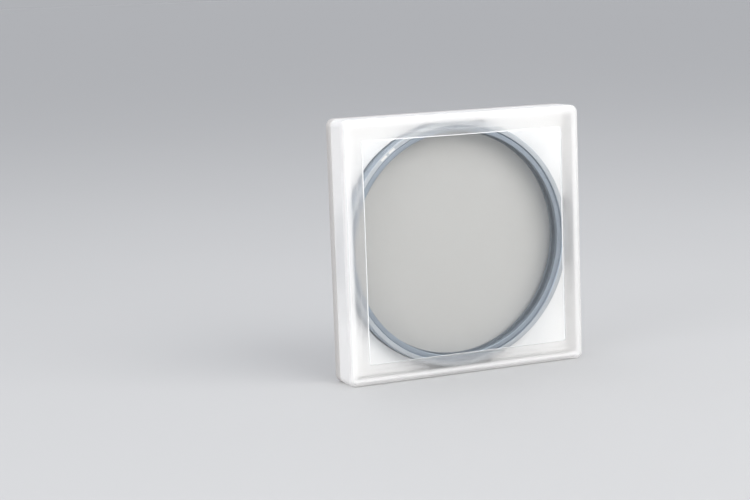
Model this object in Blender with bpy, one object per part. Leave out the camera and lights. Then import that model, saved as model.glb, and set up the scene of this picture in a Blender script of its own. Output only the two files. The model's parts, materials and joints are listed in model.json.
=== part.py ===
"""A round polarising lens filter in its hinged square case.

The case stands on its lower edge: +X right, +Y to the back, +Z up, in metres. Its lid faces -Y and
carries a clear pane. The lid turns about two pins along the right-hand edge. Inside, four foam blocks
and a foam disc hold the filter, whose front ring turns with its glass in the threaded rear ring.

Every shape is built about the middle of the case, and one empty carries the whole to its place.
"""

import math

import bmesh
import bpy
from mathutils import Vector

# --- Driving dimensions -------------------------------------------------------------------------
THREAD_D = 0.082  # the lens thread that the filter screws into
GRIP_OVERHANG = 0.0020  # how far the two grip bands stand out past the thread
GRIP_LENGTH = 0.0030  # the turning ring's band, front to back
FLANGE_LENGTH = 0.0022  # the fixed ring's band
MALE_LENGTH = 0.0018  # the thread behind it
THREAD_HEIGHT = 0.0003  # how far a crest stands from the thread's root
THREAD_LEAD = 0.0006  # the cone that leads into the front thread
MALE_WALL = 0.0010  # wall of the threaded spigot
SKIRT_WALL = 0.0011  # wall of the turning ring's skirt, inside the fixed ring
SOCKET_ROOM = 0.0004  # between the skirt and the fixed ring round it
SKIRT_LENGTH = 0.0017  # how far the skirt reaches in behind the grip band
LEDGE_WIDTH = 0.0007  # the skirt's inner ledge, which the glass lies on
LEDGE_LENGTH = 0.0005
GLASS_THICK = 0.0009  # each of the two glass discs
FILM_THICK = 0.0002  # each of the two films between them
RETAINER_THICK = 0.00075
RETAINER_WIDTH = 0.0011
SLOT_WIDTH = 0.0012  # the two spanner slots in the retaining ring
WIRE_R = 0.00025  # the snap ring's wire
WIRE_GAP_DEG = 12.0  # the opening in the snap ring

SIDE_ROOM = 0.0012  # between the grip bands and the case's walls, with the filter in the middle
FILTER_DROP = 0.0003  # how far below the case's middle the filter has settled
FRONT_ROOM = 0.0030  # between the turning ring and the lid's face
PAD_THICK = 0.0007  # the foam disc under the filter
FACE_WALL = 0.0012
BACK_WALL = 0.0012
LID_DEPTH = 0.0097  # the lid's share of the case's depth
CORNER_R = 0.0026
FACE_BEVEL = 0.0014  # the rounded edge round the lid's face
BACK_BEVEL = 0.0008
WINDOW_BORDER = 0.0058  # the milky frame between the rounded edge and the window
WINDOW_CORNER_R = 0.0010
REBATE_WIDTH = 0.0019  # the step behind the frame that the pane is bonded into
REBATE_DEPTH = 0.0006
PANE_FLANGE = 0.0005
TONGUE_HEIGHT = 0.0010  # the inner half of the tray's wall, which stands inside the lid's lip
TONGUE_WALL = 0.0005
LIP_WALL = 0.0005  # the outer half of the lid's wall, which laps over the tongue

KNUCKLE_R = 0.0020
PIN_R = 0.00075
WEB_THICK = 0.0014  # the web that joins a knuckle to its wall
WEB_STEP = 0.0002  # how far a web stops short of its knuckle's ends
KNUCKLE_LID = 0.0060  # length of the lid's knuckle
KNUCKLE_BASE = 0.0040  # length of each of the tray's two, either side of it
HINGE_SPACING = 0.0500  # between the middles of the two hinges
BLOCK_REACH = 0.0319  # length of a foam corner block along each wall
BLOCK_SHORT = 0.0042  # how far the blocks end behind the turning ring's front

GAP = 0.0003  # between pieces that touch or turn
LAYER_GAP = 0.0001  # the adhesive between glass and film

TURN_STEPS = 60  # facets round the filter
CORNER_STEPS = 5  # facets round a case corner
BEVEL_STEPS = 3
ROUND_STEPS = 20  # facets round a knuckle or pin
MERGE = 0.00001
OVERLAP = 0.0005  # how deep a knuckle's web runs into its wall before the union

# --- Worked out from them -----------------------------------------------------------------------
THREAD_R = THREAD_D / 2
RING_R = THREAD_R + GRIP_OVERHANG
FRONT_BORE_R = THREAD_R - THREAD_HEIGHT
SKIRT_R = THREAD_R
SEAT_R = SKIRT_R - SKIRT_WALL
LEDGE_R = SEAT_R - LEDGE_WIDTH
GLASS_R = SEAT_R - GAP
RETAINER_R = FRONT_BORE_R - GAP
SOCKET_R = SKIRT_R + SOCKET_ROOM
SPIGOT_BORE_R = THREAD_R - MALE_WALL

# Depths inside the filter, counted back from the turning ring's front face.
FLANGE_FRONT = GRIP_LENGTH + GAP
SHOULDER = FLANGE_FRONT + FLANGE_LENGTH
FILTER_DEPTH = SHOULDER + MALE_LENGTH
SKIRT_END = GRIP_LENGTH + SKIRT_LENGTH
LEDGE_FRONT = SKIRT_END - LEDGE_LENGTH
STACK = (
    ("rear_glass", GLASS_THICK),
    ("quarter_wave_film", FILM_THICK),
    ("polarising_film", FILM_THICK),
    ("front_glass", GLASS_THICK),
)
STACK_FRONT = LEDGE_FRONT - sum(thick + LAYER_GAP for _, thick in STACK)
RETAINER_BACK = STACK_FRONT - GAP
GROOVE_MIDDLE = SKIRT_END - 2 * WIRE_R - GAP / 2
GROOVE_HALF = WIRE_R + 0.7 * GAP
WIRE_PATH_R = (SKIRT_R + SOCKET_R) / 2
GROOVE_DEPTH = WIRE_R + GAP

# The case, about its own middle.
WALL = LIP_WALL + GAP + TONGUE_WALL
CASE_HALF = RING_R + SIDE_ROOM + WALL
CASE_DEPTH = FACE_WALL + FRONT_ROOM + FILTER_DEPTH + GAP + PAD_THICK + GAP + BACK_WALL
FACE_Y = -CASE_DEPTH / 2
BACK_Y = CASE_DEPTH / 2
FILTER_FRONT_Y = FACE_Y + FACE_WALL + FRONT_ROOM
FILTER_PLACE = Vector((GAP - SIDE_ROOM, FILTER_FRONT_Y, -FILTER_DROP))  # it leans to the left-hand wall
FLOOR_Y = BACK_Y - BACK_WALL
PARTING_Y = FACE_Y + LID_DEPTH
LID_EDGE_Y = PARTING_Y - GAP / 2
TRAY_EDGE_Y = PARTING_Y + GAP / 2
LID_INNER = CASE_HALF - WALL
LIP_INNER = CASE_HALF - LIP_WALL
LIP_END_Y = TRAY_EDGE_Y - TONGUE_HEIGHT - GAP
TONGUE_OUTER = LIP_INNER - GAP
TONGUE_INNER = TONGUE_OUTER - TONGUE_WALL
WINDOW_HALF = CASE_HALF - FACE_BEVEL - WINDOW_BORDER
REBATE_HALF = WINDOW_HALF + REBATE_WIDTH
HINGE_X = CASE_HALF + GAP + KNUCKLE_R
CENTRE = Vector((-(HINGE_X + KNUCKLE_R - CASE_HALF) / 2, 0, CASE_HALF))


# --- Helpers ------------------------------------------------------------------------------------
def clear_scene():
    for obj in list(bpy.data.objects):
        bpy.data.objects.remove(obj, do_unlink=True)


def make_material(name, colour, roughness, metallic=0.0, alpha=1.0):
    material = bpy.data.materials.new(name)
    material.use_nodes = True
    shader = material.node_tree.nodes["Principled BSDF"]
    shader.inputs["Base Color"].default_value = (*colour, 1)
    shader.inputs["Roughness"].default_value = roughness
    shader.inputs["Metallic"].default_value = metallic
    shader.inputs["Alpha"].default_value = alpha
    material.diffuse_color = (*colour, alpha)
    return material


def make_empty(name, place, parent=None):
    empty = bpy.data.objects.new(name, None)
    empty.empty_display_size = 0.01
    empty.parent = parent
    empty.location = place
    bpy.context.scene.collection.objects.link(empty)
    return empty


def add_object(name, mesh, material, parent):
    """Links a mesh that is built about the middle of the case, whatever empty carries it."""
    obj = bpy.data.objects.new(name, mesh)
    if material:
        mesh.materials.append(material)
    obj.parent = parent
    obj.location = -offset_of(parent)
    bpy.context.scene.collection.objects.link(obj)
    return obj


def offset_of(empty):
    """How far an empty stands from the middle of the case."""
    offset = Vector()
    while empty.parent:
        offset += empty.location
        empty = empty.parent
    return offset


def mesh_from(bm, name, smooth_below_deg=None):
    mesh = bpy.data.meshes.new(name)
    bmesh.ops.recalc_face_normals(bm, faces=bm.faces)
    bm.to_mesh(mesh)
    bm.free()
    if smooth_below_deg:
        mesh.shade_smooth()
        mesh.set_sharp_from_angle(angle=math.radians(smooth_below_deg))
    return mesh


def rounded_square(half, radius, y):
    """Points round a square with rounded corners, at one depth."""
    points = []
    for quarter in range(4):
        start = quarter * math.pi / 2
        side_x = math.copysign(1, math.cos(start + math.pi / 4))
        side_z = math.copysign(1, math.sin(start + math.pi / 4))
        for step in range(CORNER_STEPS + 1):
            angle = start + step / CORNER_STEPS * math.pi / 2
            x = side_x * (half - radius) + radius * math.cos(angle)
            z = side_z * (half - radius) + radius * math.sin(angle)
            points.append(Vector((x, y, z)))
    return points


def loft(name, sections, closed, material, parent):
    """Skins a row of (half, radius, y) rounded squares, closed into a frame or capped at both ends."""
    bm = bmesh.new()
    loops = [[bm.verts.new(p) for p in rounded_square(*section)] for section in sections]
    count = len(loops[0])
    pairs = list(zip(loops, loops[1:] + loops[:1] if closed else loops[1:]))
    for first, second in pairs:
        for i in range(count):
            j = (i + 1) % count
            bm.faces.new((first[i], first[j], second[j], second[i]))
    if not closed:
        bm.faces.new(loops[0])
        bm.faces.new(loops[-1])
    return add_object(name, mesh_from(bm, name, 40), material, parent)


def turned(name, profile, material, parent):
    """Turns a closed (radius, depth) outline about the filter's axis with a Screw.

    The outline runs round the section with its outer side going from front to back.
    """
    bm = bmesh.new()
    verts = [bm.verts.new((radius, 0, -depth)) for radius, depth in profile]
    closed = profile[0][0] > 0
    for first, second in zip(verts, verts[1:] + verts[:1] if closed else verts[1:]):
        bm.edges.new((first, second))
    mesh = bpy.data.meshes.new(name)
    bm.to_mesh(mesh)
    bm.free()
    obj = add_object(name, mesh, material, parent)
    obj.location += FILTER_PLACE
    obj.rotation_euler = (math.pi / 2, 0, 0)
    screw = obj.modifiers.new("turn", "SCREW")
    screw.steps = screw.render_steps = TURN_STEPS
    screw.use_merge_vertices = True
    screw.merge_threshold = MERGE
    screw.use_smooth_shade = True
    return obj


def disc(name, radius, front, back, material, parent):
    profile = [(0, front), (radius, front), (radius, back), (0, back)]
    return turned(name, profile, material, parent)


def outline_block(name, outline, y_front, y_back, material, parent):
    """A flat (x, z) outline extruded from one depth to another."""
    bm = bmesh.new()
    face = bm.faces.new([bm.verts.new((x, y_front, z)) for x, z in outline])
    extruded = bmesh.ops.extrude_face_region(bm, geom=[face])
    moved = [item for item in extruded["geom"] if isinstance(item, bmesh.types.BMVert)]
    bmesh.ops.translate(bm, verts=moved, vec=(0, y_back - y_front, 0))
    return add_object(name, mesh_from(bm, name, 40), material, parent)


def box(name, low, high, parent):
    bm = bmesh.new()
    bmesh.ops.create_cube(bm, size=1)
    size = Vector(high) - Vector(low)
    bmesh.ops.scale(bm, verts=bm.verts, vec=size)
    bmesh.ops.translate(bm, verts=bm.verts, vec=(Vector(low) + Vector(high)) / 2)
    return add_object(name, mesh_from(bm, name), None, parent)


def upright_rod(name, radius, z_low, z_high, material, parent):
    """A round rod along the hinge's axis."""
    bm = bmesh.new()
    bmesh.ops.create_cone(
        bm, segments=ROUND_STEPS, radius1=radius, radius2=radius, depth=z_high - z_low, cap_ends=True
    )
    middle = Vector((HINGE_X, PARTING_Y, (z_low + z_high) / 2))
    bmesh.ops.translate(bm, verts=bm.verts, vec=middle)
    return add_object(name, mesh_from(bm, name, 40), material, parent)


def combine(obj, operation, tool):
    """Adds an exact Boolean and hides the tool."""
    modifier = obj.modifiers.new(tool.name, "BOOLEAN")
    modifier.operation = operation
    modifier.solver = "EXACT"
    modifier.object = tool
    tool.hide_render = True
    tool.display_type = "WIRE"


# --- The case -----------------------------------------------------------------------------------
def rounded_edge(bevel, y_flat, into):
    """Sections of a quarter-round edge from the flat face at y_flat out to the side wall."""
    sections = []
    for step in range(BEVEL_STEPS + 1):
        angle = step / BEVEL_STEPS * math.pi / 2
        half = CASE_HALF - bevel * (1 - math.sin(angle))
        y = y_flat + into * bevel * (1 - math.cos(angle))
        sections.append((half, CORNER_R - (CASE_HALF - half), y))
    return sections


def inset_corner(half):
    """The corner radius of a wall that runs parallel to the outside, at this half width."""
    return max(CORNER_R - (CASE_HALF - half), WINDOW_CORNER_R)


def hinge_spans():
    """For each hinge, its name and the spans of the lower, lid and upper knuckles along Z."""
    for name, middle in (("lower", -HINGE_SPACING / 2), ("upper", HINGE_SPACING / 2)):
        inner = KNUCKLE_LID / 2
        lid = (middle - inner, middle + inner)
        below = (lid[0] - GAP - KNUCKLE_BASE, lid[0] - GAP)
        above = (lid[1] + GAP, lid[1] + GAP + KNUCKLE_BASE)
        yield name, below, lid, above


def add_knuckle(shell, name, span, side, parent):
    """A knuckle joined to its shell: a barrel round the pin, and a web to the wall on one side of
    the parting plane, -1 for the lid's and 1 for the tray's. The web is a little shorter than the barrel.
    """
    barrel = upright_rod(f"{name}_barrel", KNUCKLE_R, *span, None, parent)
    near = PARTING_Y + side * GAP
    far = PARTING_Y + side * (GAP + WEB_THICK)
    low = (CASE_HALF - OVERLAP, min(near, far), span[0] + WEB_STEP)
    high = (HINGE_X, max(near, far), span[1] - WEB_STEP)
    web = box(f"{name}_web", low, high, parent)
    combine(shell, "UNION", web)
    combine(shell, "UNION", barrel)


def bore_knuckles(shell, name, parent):
    reach = HINGE_SPACING / 2 + KNUCKLE_LID + 2 * KNUCKLE_BASE
    bore = upright_rod(f"{name}_bore", PIN_R + GAP, -reach, reach, None, parent)
    combine(shell, "DIFFERENCE", bore)


def make_tray(material, parent):
    sections = rounded_edge(BACK_BEVEL, BACK_Y, -1)
    sections += [
        (CASE_HALF, CORNER_R, TRAY_EDGE_Y),
        (TONGUE_OUTER, inset_corner(TONGUE_OUTER), TRAY_EDGE_Y),
        (TONGUE_OUTER, inset_corner(TONGUE_OUTER), TRAY_EDGE_Y - TONGUE_HEIGHT),
        (TONGUE_INNER, inset_corner(TONGUE_INNER), TRAY_EDGE_Y - TONGUE_HEIGHT),
        (TONGUE_INNER, inset_corner(TONGUE_INNER), FLOOR_Y),
    ]
    tray = loft("case_base", sections, False, material, parent)
    for name, below, _, above in hinge_spans():
        for place, span in (("below", below), ("above", above)):
            add_knuckle(tray, f"tray_{name}_{place}", span, 1, parent)
    bore_knuckles(tray, "tray", parent)
    return tray


def make_lid(material, parent):
    inner_y = FACE_Y + FACE_WALL
    rebate_y = inner_y - REBATE_DEPTH
    sections = [(WINDOW_HALF, WINDOW_CORNER_R, FACE_Y)]
    sections += rounded_edge(FACE_BEVEL, FACE_Y, 1)
    sections += [
        (CASE_HALF, CORNER_R, LID_EDGE_Y),
        (LIP_INNER, inset_corner(LIP_INNER), LID_EDGE_Y),
        (LIP_INNER, inset_corner(LIP_INNER), LIP_END_Y),
        (LID_INNER, inset_corner(LID_INNER), LIP_END_Y),
        (LID_INNER, inset_corner(LID_INNER), inner_y),
        (REBATE_HALF, WINDOW_CORNER_R, inner_y),
        (REBATE_HALF, WINDOW_CORNER_R, rebate_y),
        (WINDOW_HALF, WINDOW_CORNER_R, rebate_y),
    ]
    lid = loft("case_lid", sections, True, material, parent)
    for name, _, span, _ in hinge_spans():
        add_knuckle(lid, f"lid_{name}", span, -1, parent)
    bore_knuckles(lid, "lid", parent)
    return lid


def make_pane(material, parent):
    boss = WINDOW_HALF - GAP
    flange = REBATE_HALF - GAP
    step_y = FACE_Y + FACE_WALL - REBATE_DEPTH + GAP
    sections = [
        (boss, WINDOW_CORNER_R, FACE_Y),
        (boss, WINDOW_CORNER_R, step_y),
        (flange, WINDOW_CORNER_R, step_y),
        (flange, WINDOW_CORNER_R, step_y + PANE_FLANGE),
    ]
    return loft("lid_window", sections, False, material, parent)


def make_hinge_pins(material, parent):
    for name, below, _, above in hinge_spans():
        upright_rod(f"hinge_pin_{name}", PIN_R, below[0], above[1], material, parent)


def make_corner_blocks(material, parent):
    """Foam blocks whose hollow faces hold the filter's edge, one in each corner of the tray."""
    wall = TONGUE_INNER - GAP
    end = wall - BLOCK_REACH
    hollow_r = RING_R + GAP
    corner_r = inset_corner(wall)
    arc_steps = TURN_STEPS // 6
    for side_x, across in ((-1, "left"), (1, "right")):
        for side_z, up in ((-1, "lower"), (1, "upper")):
            aside, above = side_x * FILTER_PLACE.x, side_z * FILTER_PLACE.z
            first = math.asin((end - above) / hollow_r)
            last = math.acos((end - aside) / hollow_r)
            outline = [(wall, end)]
            for step in range(CORNER_STEPS + 1):
                angle = step / CORNER_STEPS * math.pi / 2
                middle = wall - corner_r
                outline.append((middle + corner_r * math.cos(angle), middle + corner_r * math.sin(angle)))
            outline.append((end, wall))
            for step in range(arc_steps + 1):
                angle = last + (first - last) * step / arc_steps
                outline.append((aside + hollow_r * math.cos(angle), above + hollow_r * math.sin(angle)))
            placed = [(side_x * x, side_z * z) for x, z in outline]
            front = FILTER_FRONT_Y + BLOCK_SHORT
            outline_block(f"corner_pad_{up}_{across}", placed, front, FLOOR_Y - GAP, material, parent)


def make_base_pad(material, parent):
    back = FLOOR_Y - GAP - FILTER_FRONT_Y
    disc("base_pad", RING_R - GAP, back - PAD_THICK, back, material, parent)


# --- The filter ---------------------------------------------------------------------------------
def make_front_ring(material, parent):
    edge = GAP
    groove_front = GROOVE_MIDDLE - GROOVE_HALF
    groove_back = GROOVE_MIDDLE + GROOVE_HALF
    groove_r = WIRE_PATH_R - GROOVE_DEPTH
    profile = [
        (RING_R - edge, 0),
        (RING_R, edge),
        (RING_R, GRIP_LENGTH),
        (SKIRT_R, GRIP_LENGTH),
        (SKIRT_R, groove_front),
        (groove_r, groove_front),
        (groove_r, groove_back),
        (SKIRT_R, groove_back),
        (SKIRT_R, SKIRT_END),
        (LEDGE_R, SKIRT_END),
        (LEDGE_R, LEDGE_FRONT),
        (SEAT_R, LEDGE_FRONT),
        (SEAT_R, STACK_FRONT),
        (FRONT_BORE_R, STACK_FRONT),
        (FRONT_BORE_R, THREAD_LEAD),
        (FRONT_BORE_R + THREAD_LEAD, 0),
    ]
    turned("front_ring", profile, material, parent)


def make_rear_ring(material, parent):
    edge = GAP
    groove_front = GROOVE_MIDDLE - GROOVE_HALF
    groove_back = GROOVE_MIDDLE + GROOVE_HALF
    groove_r = WIRE_PATH_R + GROOVE_DEPTH
    undercut_r = THREAD_R - THREAD_HEIGHT
    profile = [
        (RING_R, FLANGE_FRONT),
        (RING_R, SHOULDER - edge),
        (RING_R - edge, SHOULDER),
        (undercut_r, SHOULDER),
        (undercut_r, SHOULDER + edge),
        (THREAD_R, SHOULDER + 2 * edge),
        (THREAD_R, FILTER_DEPTH - edge),
        (THREAD_R - edge, FILTER_DEPTH),
        (SPIGOT_BORE_R, FILTER_DEPTH),
        (SPIGOT_BORE_R, SKIRT_END + GAP),
        (SOCKET_R, SKIRT_END + GAP),
        (SOCKET_R, groove_back),
        (groove_r, groove_back),
        (groove_r, groove_front),
        (SOCKET_R, groove_front),
        (SOCKET_R, FLANGE_FRONT),
    ]
    turned("rear_mount_ring", profile, material, parent)


def make_snap_ring(material, parent):
    """A split ring of round wire in the groove that both rings share."""
    curve = bpy.data.curves.new("snap_ring", "CURVE")
    curve.dimensions = "3D"
    curve.bevel_depth = WIRE_R
    curve.bevel_resolution = 1
    curve.use_fill_caps = True
    start = math.radians(WIRE_GAP_DEG / 2)
    span = 2 * (math.pi - start)
    spline = curve.splines.new("POLY")
    spline.points.add(TURN_STEPS - 1)
    middle = FILTER_PLACE + Vector((0, GROOVE_MIDDLE, 0))
    for i, point in enumerate(spline.points):
        angle = start + span * i / (TURN_STEPS - 1)
        along = Vector((math.sin(angle), 0, math.cos(angle)))
        point.co = (*(middle + WIRE_PATH_R * along), 1)
    return add_object("snap_ring", curve, material, parent)


def make_glass(glass, films, parent):
    """The bonded stack, laid on the ledge from the back to the front."""
    back = LEDGE_FRONT - LAYER_GAP
    for name, thick in STACK:
        material = glass if name.endswith("glass") else films[name]
        disc(name, GLASS_R, back - thick, back, material, parent)
        back -= thick + LAYER_GAP


def make_retaining_ring(material, parent):
    inner_r = RETAINER_R - RETAINER_WIDTH
    front = RETAINER_BACK - RETAINER_THICK
    profile = [
        (RETAINER_R, front),
        (RETAINER_R, RETAINER_BACK),
        (inner_r, RETAINER_BACK),
        (inner_r, front),
    ]
    ring = turned("glass_retaining_ring", profile, material, parent)
    low = FILTER_PLACE + Vector((-SLOT_WIDTH / 2, front - RETAINER_THICK, -RING_R))
    high = FILTER_PLACE + Vector((SLOT_WIDTH / 2, RETAINER_BACK - RETAINER_THICK / 2, RING_R))
    combine(ring, "DIFFERENCE", box("spanner_slots", low, high, parent))


def main():
    clear_scene()
    milky = make_material("milky_polypropylene", (0.86, 0.87, 0.88), 0.45, alpha=0.85)
    clear = make_material("clear_pane", (0.92, 0.95, 0.95), 0.05, alpha=0.2)
    foam = make_material("white_foam", (0.88, 0.88, 0.86), 0.9)
    steel = make_material("pin_steel", (0.60, 0.61, 0.62), 0.3, metallic=1.0)
    anodised = make_material("blue_grey_anodised", (0.17, 0.22, 0.29), 0.4, metallic=0.8)
    dark = make_material("dark_anodised", (0.08, 0.10, 0.13), 0.45, metallic=0.8)
    glass = make_material("coated_glass", (0.75, 0.78, 0.72), 0.03, alpha=0.3)
    films = {
        "polarising_film": make_material("polarising_film", (0.38, 0.40, 0.36), 0.2, alpha=0.6),
        "quarter_wave_film": make_material("retarder_film", (0.80, 0.80, 0.74), 0.2, alpha=0.3),
    }

    middle = make_empty("case_middle", CENTRE)
    hinge = make_empty("hinge_axis", (HINGE_X, PARTING_Y, 0), middle)
    optical = make_empty("filter_axis", FILTER_PLACE, middle)

    make_tray(milky, middle)
    make_lid(milky, hinge)
    make_pane(clear, hinge)
    make_hinge_pins(steel, middle)
    make_corner_blocks(foam, middle)
    make_base_pad(foam, middle)

    make_rear_ring(anodised, middle)
    make_snap_ring(steel, middle)
    make_front_ring(anodised, optical)
    make_retaining_ring(dark, optical)
    make_glass(glass, films, optical)


main()
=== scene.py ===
# %% [markdown]
# # A lens filter in its clear-window case
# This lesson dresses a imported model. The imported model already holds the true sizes: a flat, square,
# milky case whose lid has a clear pane, and inside it a round polarising filter on white foam. Here each
# piece gets its fine surface, worked out with numpy from a few formulas, and its material.
#
# Everything is in metres. The case stands on its lower edge, +X points to the hinges, +Y to the back
# and +Z up.

import json
import math

import bmesh
import bpy
import numpy as np
from mathutils import Matrix, Vector


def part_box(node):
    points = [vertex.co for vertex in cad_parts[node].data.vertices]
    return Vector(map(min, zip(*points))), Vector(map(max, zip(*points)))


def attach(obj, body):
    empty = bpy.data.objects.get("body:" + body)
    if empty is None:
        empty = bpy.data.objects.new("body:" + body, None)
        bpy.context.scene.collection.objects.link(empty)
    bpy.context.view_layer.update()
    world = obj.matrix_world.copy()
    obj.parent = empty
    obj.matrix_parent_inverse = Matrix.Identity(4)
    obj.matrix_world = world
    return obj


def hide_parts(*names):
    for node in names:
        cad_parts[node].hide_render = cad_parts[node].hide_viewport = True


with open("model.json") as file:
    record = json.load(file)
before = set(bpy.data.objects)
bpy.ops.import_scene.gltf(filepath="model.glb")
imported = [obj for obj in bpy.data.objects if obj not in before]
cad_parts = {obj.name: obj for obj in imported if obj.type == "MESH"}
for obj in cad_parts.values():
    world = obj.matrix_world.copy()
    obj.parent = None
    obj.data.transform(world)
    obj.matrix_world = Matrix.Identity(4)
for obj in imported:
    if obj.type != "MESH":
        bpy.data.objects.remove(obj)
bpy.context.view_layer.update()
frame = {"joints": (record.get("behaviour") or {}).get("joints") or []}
MM = 0.001
GAP = 0.3 * MM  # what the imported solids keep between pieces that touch

lid_low, lid_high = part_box("case_lid")
tray_low, tray_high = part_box("case_base")
pane_low, pane_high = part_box("lid_window")
ring_low, ring_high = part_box("front_ring")
HALF = (lid_high.z - lid_low.z) / 2
MIDDLE_X = lid_low.x + HALF
MIDDLE_Z = lid_low.z + HALF
FACE_Y = lid_low.y
BACK_Y = tray_high.y
hinge = next(joint for joint in frame["joints"] if joint["name"] == "lid_hinge")
HINGE_X, PARTING_Y, _ = hinge["pos_m"]
RING_R = (ring_high.x - ring_low.x) / 2
FILTER_X = (ring_low.x + ring_high.x) / 2
FILTER_Y = ring_low.y
FILTER_Z = (ring_low.z + ring_high.z) / 2
print(f"case {2 * HALF / MM:.1f} mm square, {(BACK_Y - FACE_Y) / MM:.1f} mm deep")
print(f"ring {2 * RING_R / MM:.0f} mm across")

# %% [markdown]
# ## The camera
# A small flat object close to a long lens looks nearly free of perspective, but not quite: its far side
# still shrinks a little. The camera is placed by what a photographer would set: how far round it
# stands, how high, how far off and how it is tipped. From those three angles come its three axes,
# and the case is then put off centre in the frame by sliding the camera along two of them.

# %% Place the camera
LENS = 86.4  # mm, on a sensor 36 mm wide
DISTANCE = 0.6222
YAW, RISE, ROLL = (math.radians(angle) for angle in (23.7, 8.3, -2.1))
SLIDE_ACROSS, SLIDE_UP = 0.0318, 0.0020


def camera_axes(yaw, rise, roll):
    """The camera's right, up and back axes.

    Back is (-sin yaw cos rise, -cos yaw cos rise, sin rise). Right and up are square to it, turned
    about it by the roll.
    """
    back = Vector((-math.sin(yaw) * math.cos(rise), -math.cos(yaw) * math.cos(rise), math.sin(rise)))
    level = Vector((math.cos(yaw), -math.sin(yaw), 0))
    up = back.cross(level)
    right = level * math.cos(roll) + up * math.sin(roll)
    return right, back.cross(right), back


right, up, back = camera_axes(YAW, RISE, ROLL)
target = Vector((MIDDLE_X, FACE_Y, MIDDLE_Z)) - right * SLIDE_ACROSS - up * SLIDE_UP
camera_data = bpy.data.cameras.new("camera")
camera_data.lens = LENS
camera_data.sensor_width = 36
camera_data.clip_start = 0.01
camera = bpy.data.objects.new("camera", camera_data)
axes = Matrix((right, up, back)).transposed().to_4x4()
camera.matrix_world = Matrix.Translation(target + back * DISTANCE) @ axes
bpy.context.scene.collection.objects.link(camera)
bpy.context.scene.camera = camera
print("camera at", tuple(round(value, 3) for value in camera.matrix_world.translation))

# %% [markdown]
# ## Building materials from nodes
# A material here is a small graph. Three short helpers keep each recipe readable: one starts an empty
# material, one adds a node with its inputs, and one turns a fine noise into a bump. Patterns are placed
# by Object coordinates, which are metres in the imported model's own frame, so a noise scale of 4000
# gives grains a quarter of a millimetre across.

# %% Node helpers


def new_material(name):
    material = bpy.data.materials.new(name)
    material.use_nodes = True
    material.node_tree.nodes.clear()
    return material, material.node_tree


def node(tree, kind, inputs=None, **settings):
    """Adds a node. An input is given by its name or number, as a value or as another node's output."""
    made = tree.nodes.new(kind)
    for key, value in settings.items():
        setattr(made, key, value)
    for key, value in (inputs or {}).items():
        socket = made.inputs[key]
        if isinstance(value, bpy.types.NodeSocket):
            tree.links.new(value, socket)
        else:
            socket.default_value = value
    return made


def place(tree, scale=(1, 1, 1)):
    """Object coordinates, stretched by scale."""
    where = node(tree, "ShaderNodeTexCoord")
    return node(tree, "ShaderNodeMapping", {"Vector": where.outputs["Object"], "Scale": scale}).outputs[0]


def noise(tree, where, scale, detail=3.0, roughness=0.5):
    """A fine random pattern of 0..1. Scale is in waves per metre."""
    inputs = {"Vector": where, "Scale": scale, "Detail": detail, "Roughness": roughness}
    return node(tree, "ShaderNodeTexNoise", inputs).outputs["Fac"]


def spread(tree, value, low, high):
    """Carries a 0..1 value onto low..high."""
    return node(tree, "ShaderNodeMapRange", {"Value": value, "To Min": low, "To Max": high}).outputs[0]


def bump(tree, height, distance, strength=1.0):
    return node(
        tree, "ShaderNodeBump", {"Height": height, "Distance": distance, "Strength": strength}
    ).outputs[0]


def between(tree, share, first, second):
    """A colour between two, by a 0..1 share."""
    mix = node(tree, "ShaderNodeMix", {0: share}, data_type="RGBA")
    mix.inputs[6].default_value = (*first, 1)
    mix.inputs[7].default_value = (*second, 1)
    return mix.outputs[2]


def finish_material(tree, shader):
    node(tree, "ShaderNodeOutputMaterial", {"Surface": shader})


def lamps_pass(tree, shader, share):
    """Lets lamps shine through a wall that is otherwise solid to them, dimmed to a share each face."""
    path = node(tree, "ShaderNodeLightPath")
    clear = node(tree, "ShaderNodeBsdfTransparent", {"Color": (share, share, share, 1)})
    return node(
        tree, "ShaderNodeMixShader", {0: path.outputs["Is Shadow Ray"], 1: shader, 2: clear.outputs[0]}
    ).outputs[0]


# %% [markdown]
# ## A floor and soft light
# White plastic is judged by its shadows, so the light has to be soft but not flat. A broad lamp above
# and to the right lights the face and the top edge, a weaker one fills the left-hand side, and a pale
# world lights the rest. Each lamp is an area light, because its reflection is what a polished edge shows.
# Clear panes and films lie one behind another here, so rays may pass more of them than usual.

# %% Floor, world and lamps
FLOOR_SIZE = 60.0


def flat_sheet(name, size, z):
    """A square grid of points (x, y) at one height z."""
    side = np.linspace(-size / 2, size / 2, 3)
    x, y = np.meshgrid(side, side, indexing="ij")
    grid = np.stack([x, y, np.full_like(x, z)], axis=-1)
    index = np.arange(grid.shape[0] * grid.shape[1]).reshape(grid.shape[:2])
    quads = np.stack([index[:-1, :-1], index[1:, :-1], index[1:, 1:], index[:-1, 1:]], axis=-1)
    mesh = bpy.data.meshes.new(name)
    mesh.from_pydata(grid.reshape(-1, 3).tolist(), [], quads.reshape(-1, 4).tolist())
    obj = bpy.data.objects.new(name, mesh)
    bpy.context.scene.collection.objects.link(obj)
    return obj


def area_lamp(name, place, aim, size, power, colour=(1, 1, 1)):
    data = bpy.data.lights.new(name, "AREA")
    data.shape = "RECTANGLE"
    data.size, data.size_y = size
    data.energy = power
    data.color = colour
    lamp = bpy.data.objects.new(name, data)
    lamp.location = place
    lamp.rotation_euler = (Vector(aim) - Vector(place)).to_track_quat("-Z", "Y").to_euler()
    bpy.context.scene.collection.objects.link(lamp)
    return lamp


floor = flat_sheet("floor", FLOOR_SIZE, 0)

FLOOR_SHADE = 0.55  # how much light the floor returns
WORLD_STRENGTH = 0.76
LAMP_LIFT = 1.12  # how much brighter the lamps make the floor than the world alone does
SEEN_STRENGTH = WORLD_STRENGTH * FLOOR_SHADE * LAMP_LIFT


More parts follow.
